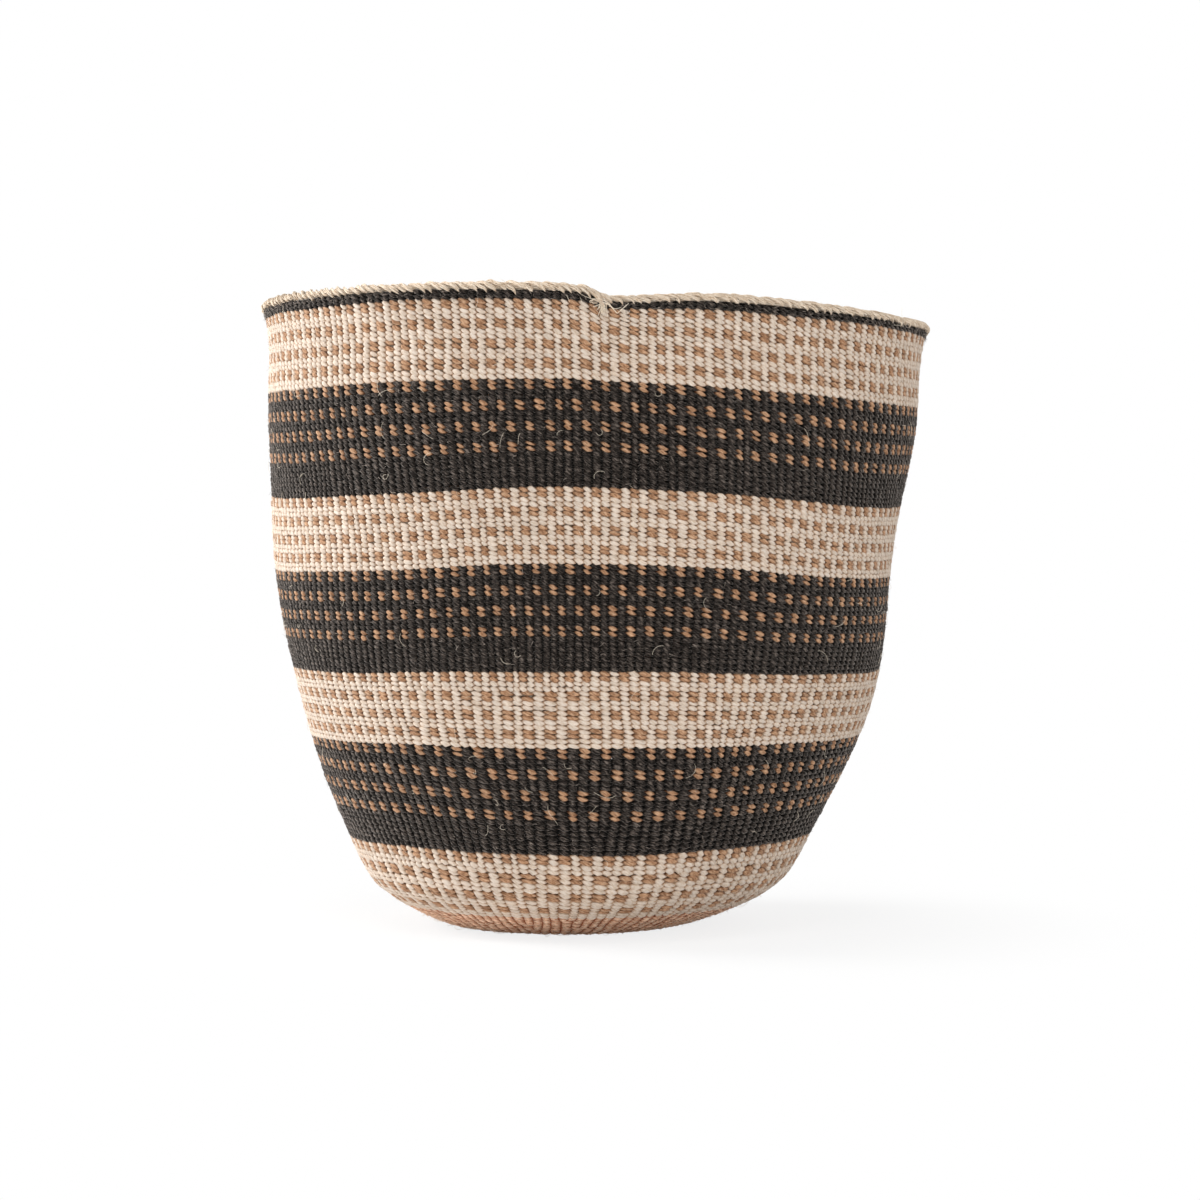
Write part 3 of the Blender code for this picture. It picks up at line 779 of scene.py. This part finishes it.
def knot_tubes(rim_length):
    """Strands that tie off the edge, and the frayed fibres of their ends."""
    tubes, hairs = [], []
    for radius, points in KNOT_STRANDS:
        t, out, up = smooth_path(points, STRAND_STEPS).T
        path = on_rim(KNOT_ANGLE, t, out, up, rim_length)
        rings = sweep(path, radius * MM * tapered(len(path), 0.25, tip=0.5), STRAND_SIDES)
        # Painted shade: the lower a strand lies under the knot's top, the darker it is
        depth = np.clip(1 - (KNOT_TOP - out) * KNOT_PAINTED_SHADE, KNOT_LEAST_DEPTH, 1)
        tubes.append(Tube(rings, rng.uniform(*KNOT_TONES), depth[:, None], KNOT_SHARE))
    for radius, points in KNOT_FIBRES:
        t, out, up = smooth_path(points, FIBRE_STEPS).T
        path = on_rim(KNOT_ANGLE, t, out, up, rim_length)
        hairs.append(Tube(sweep(path, radius * MM * tapered(len(path), 0.3, tip=0.5), FIBRE_SIDES)))
    for _ in range(TAIL_HAIRS):
        top, middle, tip = rng.normal(0, 1.0) * np.array(TAIL_SPREADS)
        reach = rng.uniform(*TAIL_REACH_SCATTER) * TAIL_REACH
        points = [
            (top, TAIL_TOP_OUT, TAIL_TOP_UP), (middle, TAIL_MIDDLE_OUT, -TAIL_MIDDLE_SHARE * reach),
            (tip + rng.normal(0, TAIL_TIP_SCATTER), rng.uniform(*TAIL_TIP_OUT), -reach),
        ]
        t, out, up = smooth_path(points, TAIL_STEPS).T
        path = on_rim(KNOT_ANGLE, t, out, up, rim_length)
        hairs.append(Tube(sweep(path, TAIL_HAIR_RADIUS * tapered(len(path), 0.5, tip=0.3), FIBRE_SIDES)))
    return tubes, hairs


def wall_point(courses, colour):
    """A random place on the courses of one colour: its angle, length and outer half thickness."""
    of_colour = [course for course in courses[FIRST_FUZZY_COURSE:] if course["colour"] == colour]
    weights = np.array([len(course["edges"]) for course in of_colour], float)
    course = of_colour[rng.choice(len(of_colour), p=weights / weights.sum())]
    length = course["start"] + course["height"] * rng.uniform(0, 1)
    return rng.uniform(-math.pi, math.pi), length, course["half_wall"]


def edge_point(courses):
    """A random place on the black edge."""
    length = rng.uniform(courses[-2]["start"], top_of(courses[-1]))
    return rng.uniform(-math.pi, math.pi), length, RIM_HALF_WALL


def over_wall(angle, length, turn, reach):
    """Angles and lengths along a fibre that starts at a place and goes on in these directions."""
    run = np.cumsum(np.stack([np.cos(turn), np.sin(turn)]), axis=1) * reach / len(turn) * MM
    radius, _ = on_wall(length, 0.0)
    return angle + run[0] / max(radius, LEAST_TURN_RADIUS), length + run[1]


def fuzz_tubes(courses, colour, count):
    """Short fibres that stand off the cords, outside and inside. The black edge has many more."""
    tubes = []
    for number in range(count + (BLACK_RIM_HAIRS if colour == "black" else 0)):
        angle, length, half_wall = wall_point(courses, colour) if number < count else edge_point(courses)
        side = 1.0 if rng.uniform() < FUZZ_OUTSIDE else -1.0
        reach = rng.uniform(*FUZZ_LENGTH)
        heading = rng.normal(FUZZ_SLANT, FUZZ_SCATTER) + (math.pi if rng.uniform() < 0.5 else 0.0)
        bend = rng.normal(0, FUZZ_BEND)
        stand = abs(rng.normal(0, FUZZ_STAND)) + FUZZ_LEAST_STAND
        where = np.linspace(0, 1, FUZZ_RINGS)
        angle, length = over_wall(angle, length, heading + bend * where, reach)
        lift = side * (half_wall + (stand * reach * where ** FUZZ_STAND_POWER - ROOT_DEPTH) * MM)
        path = place(angle, length, lift)
        radii = FUZZ_RADIUS * (FUZZ_ROOT - FUZZ_TAPER * where)
        tubes.append(Tube(sweep(path, radii, FUZZ_SIDES), rng.uniform(0, 1)))
    return tubes


def rim_hairs(rim_length):
    """Short fibres that stick out of the folded warp ends."""
    tubes = []
    where = np.linspace(0, 1, RIM_HAIR_RINGS)
    radii = FUZZ_RADIUS * (RIM_HAIR_ROOT - FUZZ_TAPER * where)
    for _ in range(RIM_HAIRS):
        reach = rng.uniform(*RIM_HAIR_LENGTH)
        t = rng.normal(0, 1) * reach * where + rng.normal(0, RIM_HAIR_BEND) * where ** 2
        out = rng.uniform(*RIM_HAIR_OUT) + rng.normal(0, RIM_HAIR_SPLAY) * reach * where
        up = rng.uniform(*RIM_HAIR_UP) + rng.uniform(*RIM_HAIR_RISE) * reach * where
        path = on_rim(rng.uniform(-math.pi, math.pi), t, out, up, rim_length)
        tubes.append(Tube(sweep(path, radii, FUZZ_SIDES), rng.uniform(0, 1)))
    return tubes


def long_tubes(courses):
    """Long fibres that have worked loose and lie over the wall in an arc."""
    tubes = []
    for _ in range(LONG_HAIRS):
        angle, length, half_wall = wall_point(courses, rng.choice(LONG_HAIR_PLACES))
        side = 1.0 if rng.uniform() < LONG_HAIR_OUTSIDE else -1.0
        reach = rng.uniform(*LONG_HAIR_LENGTH)
        where = np.linspace(0, 1, LONG_HAIR_RINGS)
        turn = rng.uniform(0, 2 * math.pi) + rng.normal(0, LONG_HAIR_BEND) * where
        turn = turn + rng.normal(0, LONG_HAIR_CURL) * where ** 2
        angle, length = over_wall(angle, length, turn, reach)
        arch = np.sin(math.pi * where) ** LONG_HAIR_ARCH_POWER * rng.uniform(*LONG_HAIR_ARCH)
        lift = side * (half_wall + (arch - ROOT_DEPTH) * MM)
        path = place(angle, np.clip(length, 0.0, WALL_LENGTH), lift)
        tubes.append(Tube(sweep(path, LONG_HAIR_RADIUS, LONG_HAIR_SIDES), rng.uniform(0, 1)))
    return tubes


def new_material(name):
    """A new material, its node tree and its shader."""
    material = bpy.data.materials.new(name)
    material.use_nodes = True
    return material, material.node_tree, material.node_tree.nodes["Principled BSDF"]


def add_node(tree, kind, **inputs):
    """A new node with these properties and input values."""
    node = tree.nodes.new(kind)
    for key, value in inputs.items():
        if hasattr(node, key):
            setattr(node, key, value)
        else:
            node.inputs[key].default_value = value
    return node


def noise(tree, vector, stretch, detail):
    """Noise along and across a cord, stretched by its own scale in each."""
    stretched = add_node(tree, "ShaderNodeVectorMath", operation="MULTIPLY")
    stretched.inputs[1].default_value = stretch
    tree.links.new(vector, stretched.inputs[0])
    texture = add_node(tree, "ShaderNodeTexNoise", Scale=1.0, Detail=detail, Roughness=NOISE_ROUGHNESS)
    tree.links.new(stretched.outputs[0], texture.inputs["Vector"])
    return texture.outputs["Fac"]


def ramp(tree, value, stops):
    """A colour ramp over (place, linear colour) stops."""
    node = add_node(tree, "ShaderNodeValToRGB")
    elements = node.color_ramp.elements
    while len(elements) < len(stops):
        elements.new(0.5)
    for element, (where, colour) in zip(elements, stops):
        element.position = where
        element.color = (*colour, 1.0)
    tree.links.new(value, node.inputs["Fac"])
    return node.outputs["Color"]


def grey(value):
    """This tone as a linear colour."""
    return (value, value, value)


def grey_ramp(tree, value, stops):
    """A colour ramp over (place, tone) stops."""
    return ramp(tree, value, [(where, grey(tone)) for where, tone in stops])


def multiplied(tree, colour, by):
    """One colour times another."""
    node = add_node(tree, "ShaderNodeMix", data_type="RGBA", blend_type="MULTIPLY", Factor=1.0)
    tree.links.new(colour, node.inputs["A"])
    tree.links.new(by, node.inputs["B"])
    return node.outputs["Result"]


def shade_marks(tree):
    """The depth, which sets the painted shade, and the tone that each point of a tube has."""
    marks = add_node(tree, "ShaderNodeAttribute", attribute_name="shade")
    parts = add_node(tree, "ShaderNodeSeparateXYZ")
    tree.links.new(marks.outputs["Vector"], parts.inputs[0])
    return parts.outputs["X"], parts.outputs["Y"]


def cord_material(name, dark, middle, light, deep, darkest, sheen, sheen_roughness, specular):
    """Twisted sisal fibres: streaks along the plies, a tone that changes from stitch to stitch, and
    painted shade, darker and warmer, where the cord lies deep between the stitches."""
    material, tree, shader = new_material(name)
    depth, tone = shade_marks(tree)
    yarn = add_node(tree, "ShaderNodeAttribute", attribute_name="yarn").outputs["Vector"]
    streaks = noise(tree, yarn, STREAKS, STREAK_DETAIL)
    patches = noise(tree, yarn, PATCHES, PATCH_DETAIL)
    fibre = ramp(tree, streaks, [(DARK_STREAK, dark), (MIDDLE_STREAK, middle), (LIGHT_STREAK, light)])
    fibre = multiplied(tree, fibre, grey_ramp(tree, patches, PATCH_TONES))
    fibre = multiplied(tree, fibre, grey_ramp(tree, tone, [(0.0, darkest), (1.0, LIGHTEST_STITCH)]))
    # Painted shade: darker and warmer towards the deep colour, and a quarter of it, the deeper a point lies
    deepest = tuple(part / 4 for part in deep)
    depths = [(DEEPEST, deepest), (DEEP, deep), (SHALLOW, grey(1.0))]
    fibre = multiplied(tree, fibre, ramp(tree, depth, depths))
    tree.links.new(fibre, shader.inputs["Base Color"])
    bump = add_node(tree, "ShaderNodeBump", Strength=STREAK_BUMP, Distance=STREAK_DEPTH)
    tree.links.new(streaks, bump.inputs["Height"])
    tree.links.new(bump.outputs["Normal"], shader.inputs["Normal"])
    tree.links.new(grey_ramp(tree, streaks, ROUGHNESSES), shader.inputs["Roughness"])
    shader.inputs["Specular IOR Level"].default_value = specular
    shader.inputs["Sheen Weight"].default_value = sheen
    shader.inputs["Sheen Roughness"].default_value = sheen_roughness
    shader.inputs["Sheen Tint"].default_value = SHEEN_TINT
    return material


def hair_material(name, colour, darkest, lightest):
    """Single loose fibres, each with a tone of its own."""
    material, tree, shader = new_material(name)
    _, tone = shade_marks(tree)
    low, high = (tuple(share * part for part in colour) for share in (darkest, lightest))
    fibre = ramp(tree, tone, [(0.0, low), (HAIR_MIDDLE_TONE, colour), (1.0, high)])
    tree.links.new(fibre, shader.inputs["Base Color"])
    shader.inputs["Roughness"].default_value = HAIR_ROUGHNESS
    return material


def make_camera():
    """The camera of the photograph's view."""
    data = bpy.data.cameras.new("camera")
    data.sensor_width = SENSOR_WIDTH
    data.lens = LENS
    camera = bpy.data.objects.new("camera", data)
    bpy.context.scene.collection.objects.link(camera)
    camera.location = CAMERA_PLACE
    camera.rotation_euler = (math.pi / 2 - CAMERA_DIP, 0.0, 0.0)
    bpy.context.scene.camera = camera


def shows_white(tree, plain, share=None):
    """The mix that the camera, mirrors and glass see: a white shader, still to be linked, or only so
    large a share of it, over the plain one."""
    path = add_node(tree, "ShaderNodeLightPath")
    seen = path.outputs["Is Camera Ray"]
    for ray in ("Is Glossy Ray", "Is Transmission Ray"):
        either = add_node(tree, "ShaderNodeMath", operation="MAXIMUM")
        tree.links.new(seen, either.inputs[0])
        tree.links.new(path.outputs[ray], either.inputs[1])
        seen = either.outputs[0]
    factor = add_node(tree, "ShaderNodeMath", operation="MULTIPLY")
    factor.inputs[1].default_value = 1.0
    if share:
        tree.links.new(share, factor.inputs[1])
    tree.links.new(seen, factor.inputs[0])
    mixer = add_node(tree, "ShaderNodeMixShader")
    tree.links.new(factor.outputs[0], mixer.inputs["Fac"])
    tree.links.new(plain, mixer.inputs[1])
    return mixer


def make_world():
    """Even white light from all round."""
    world = bpy.data.worlds.new("studio")
    bpy.context.scene.world = world
    world.use_nodes = True
    tree = world.node_tree
    background = tree.nodes["Background"]
    white = add_node(tree, "ShaderNodeBackground")
    for light, strength in ((background, WORLD_STRENGTH), (white, 1.0)):
        light.inputs["Color"].default_value = (1.0, 1.0, 1.0, 1.0)
        light.inputs["Strength"].default_value = strength
    mixer = shows_white(tree, background.outputs[0])
    tree.links.new(white.outputs[0], mixer.inputs[2])
    tree.links.new(mixer.outputs[0], tree.nodes["World Output"].inputs["Surface"])


def make_floor():
    """A pale floor that the camera sees as nearly white."""
    mesh = bpy.data.meshes.new("floor")
    corners = [(FLOOR_HALF * x, FLOOR_HALF * y, 0) for x, y in ((-1, -1), (1, -1), (1, 1), (-1, 1))]
    mesh.from_pydata(corners, [], [(0, 1, 2, 3)])
    floor = bpy.data.objects.new("floor", mesh)
    bpy.context.scene.collection.objects.link(floor)
    material, tree, shader = new_material("floor")
    shader.inputs["Base Color"].default_value = (*grey(FLOOR_TONE), 1.0)
    shader.inputs["Roughness"].default_value = FLOOR_ROUGHNESS
    where = add_node(tree, "ShaderNodeNewGeometry")
    distance = add_node(tree, "ShaderNodeVectorMath", operation="LENGTH")
    tree.links.new(where.outputs["Position"], distance.inputs[0])
    share = add_node(tree, "ShaderNodeMapRange", interpolation_type="SMOOTHSTEP")
    limits = (SHADE_RADIUS, WHITE_RADIUS, WHITE_UNDER_BASKET, 1.0)
    for name, limit in zip(("From Min", "From Max", "To Min", "To Max"), limits):
        share.inputs[name].default_value = limit
    tree.links.new(distance.outputs["Value"], share.inputs["Value"])
    white = add_node(tree, "ShaderNodeEmission", Strength=1.0)
    mixer = shows_white(tree, shader.outputs[0], share.outputs["Result"])
    tree.links.new(white.outputs[0], mixer.inputs[2])
    tree.links.new(mixer.outputs[0], tree.nodes["Material Output"].inputs["Surface"])
    mesh.materials.append(material)


def area_light(name, where, target, size, power):
    """A round lamp that faces its target."""
    data = bpy.data.lights.new(name, "AREA")
    data.shape = "DISK"
    data.size = size
    data.energy = power
    light = bpy.data.objects.new(name, data)
    bpy.context.scene.collection.objects.link(light)
    light.location = where
    light.rotation_euler = (Vector(target) - Vector(where)).to_track_quat("-Z", "Y").to_euler()


def build_basket():
    """Every piece of the basket."""
    materials, hairs = {}, {}
    for colour in CORD_COLOURS:
        materials[colour] = cord_material(f"{colour}_sisal_cord", *CORD_COLOURS[colour], *FINISHES[colour])
    for colour in HAIR_COLOURS:
        hairs[colour] = hair_material(f"{colour}_fibre", *HAIR_COLOURS[colour])
    courses = all_courses()
    lay_columns(courses)
    choose_dots(courses)
    weave(courses, materials)
    cords, fibres, slot = materials["natural"], hairs["natural"], SLOTS["natural"]
    make_pieces("warp_cords", warp_tubes(courses), cords, slot, "warps")
    make_pieces("rim_folds", fold_tubes(courses), cords, slot, "rim_edge")
    rim_length = top_of(courses[-1])
    strands, frayed = knot_tubes(rim_length)
    make_pieces("knot_strands", strands, cords, slot, "rim_knot")
    make_pieces("knot_frayed_tail", frayed, fibres, slot, "rim_knot_tail")
    for colour, count in FUZZ_HAIRS.items():
        make_pieces(f"{colour}_fuzz", fuzz_tubes(courses, colour, count), hairs[colour], SLOTS[colour])
    make_pieces("rim_fuzz", rim_hairs(rim_length), fibres, slot)
    make_pieces("long_loose_fibres", long_tubes(courses), fibres, slot)


bpy.context.scene.view_settings.view_transform = "Standard"
build_basket()
make_camera()
make_world()
make_floor()
for lamp in LAMPS:
    area_light(*lamp)
